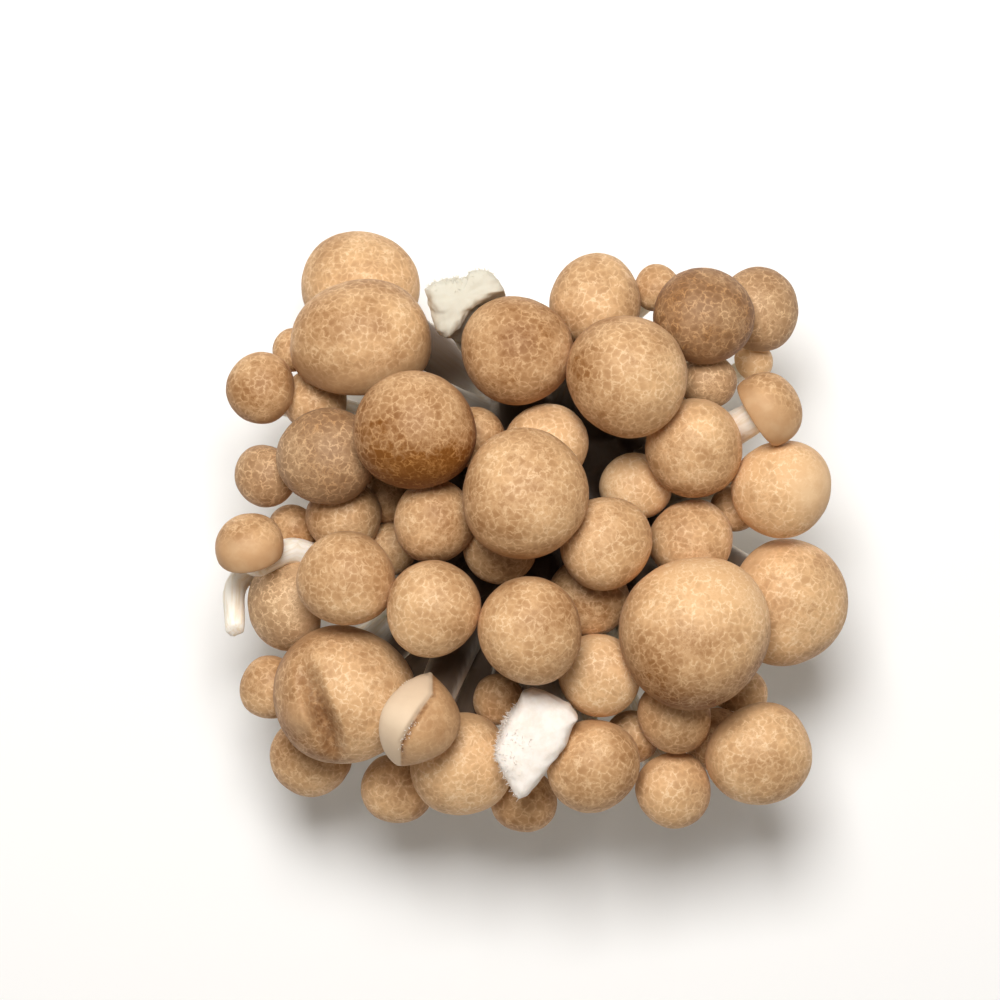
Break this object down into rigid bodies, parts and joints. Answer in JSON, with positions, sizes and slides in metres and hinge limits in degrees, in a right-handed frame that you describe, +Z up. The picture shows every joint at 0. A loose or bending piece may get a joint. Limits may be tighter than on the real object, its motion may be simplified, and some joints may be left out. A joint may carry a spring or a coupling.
{
  "type": "beech mushroom cluster",
  "caption": "Cluster of brown beech mushrooms: domed caps crowded on curved pale stems that rise from one cut base, which it stands on.",
  "frame": {"origin": "centre of the flat cut face of the base, which the cluster stands on", "axes": "+Z up through the crown of caps, which is the cluster's shortest extent; +X and +Y lie in the plane that it stands on"},
  "size_m": [0.1079, 0.1046, 0.0684],
  "materials": {
    "cap_skin": "matt light brown skin with a pale net between darker round cells",
    "stem_flesh": "matt cream white flesh with fine lengthwise fibres"
  },
  "bodies": {
    "root": {"cap_01": "cap_skin", "cap_02": "cap_skin", "cap_03": "cap_skin", "cap_04": "cap_skin", "cap_05": "cap_skin", "cap_06": "cap_skin", "cap_07": "cap_skin", "cap_08": "cap_skin", "cap_09": "cap_skin", "cap_10": "cap_skin", "cap_11": "cap_skin", "cap_12": "cap_skin", "cap_13": "cap_skin", "cap_14": "cap_skin", "cap_15": "cap_skin", "cap_16": "cap_skin", "cap_17": "cap_skin", "cap_18": "cap_skin", "cap_19": "cap_skin", "cap_20": "cap_skin", "cap_21": "cap_skin", "cap_22": "cap_skin", "cap_23": "cap_skin", "cap_24": "cap_skin", "cap_25": "cap_skin", "cap_26": "cap_skin", "cap_27": "cap_skin", "cap_28": "cap_skin", "cap_29": "cap_skin", "cap_30": "cap_skin", "cap_31": "cap_skin", "cap_32": "cap_skin", "cap_33": "cap_skin", "cap_34": "cap_skin", "cap_35": "cap_skin", "cap_36": "cap_skin", "cap_37": "cap_skin", "cap_38": "cap_skin", "cap_39": "cap_skin", "cap_40": "cap_skin", "cap_41": "cap_skin", "cap_42": "cap_skin", "cap_43": "cap_skin", "cap_44": "cap_skin", "cap_45": "cap_skin", "cap_46": "cap_skin", "cap_47": "cap_skin", "cap_48": "cap_skin", "cap_49": "cap_skin", "cap_50": "cap_skin", "cap_51": "cap_skin", "cap_52": "cap_skin", "cap_53": "cap_skin", "cap_54": "cap_skin", "cap_55": "cap_skin", "cap_56": "cap_skin", "stems_on_base": "stem_flesh"}
  },
  "joints": []
}
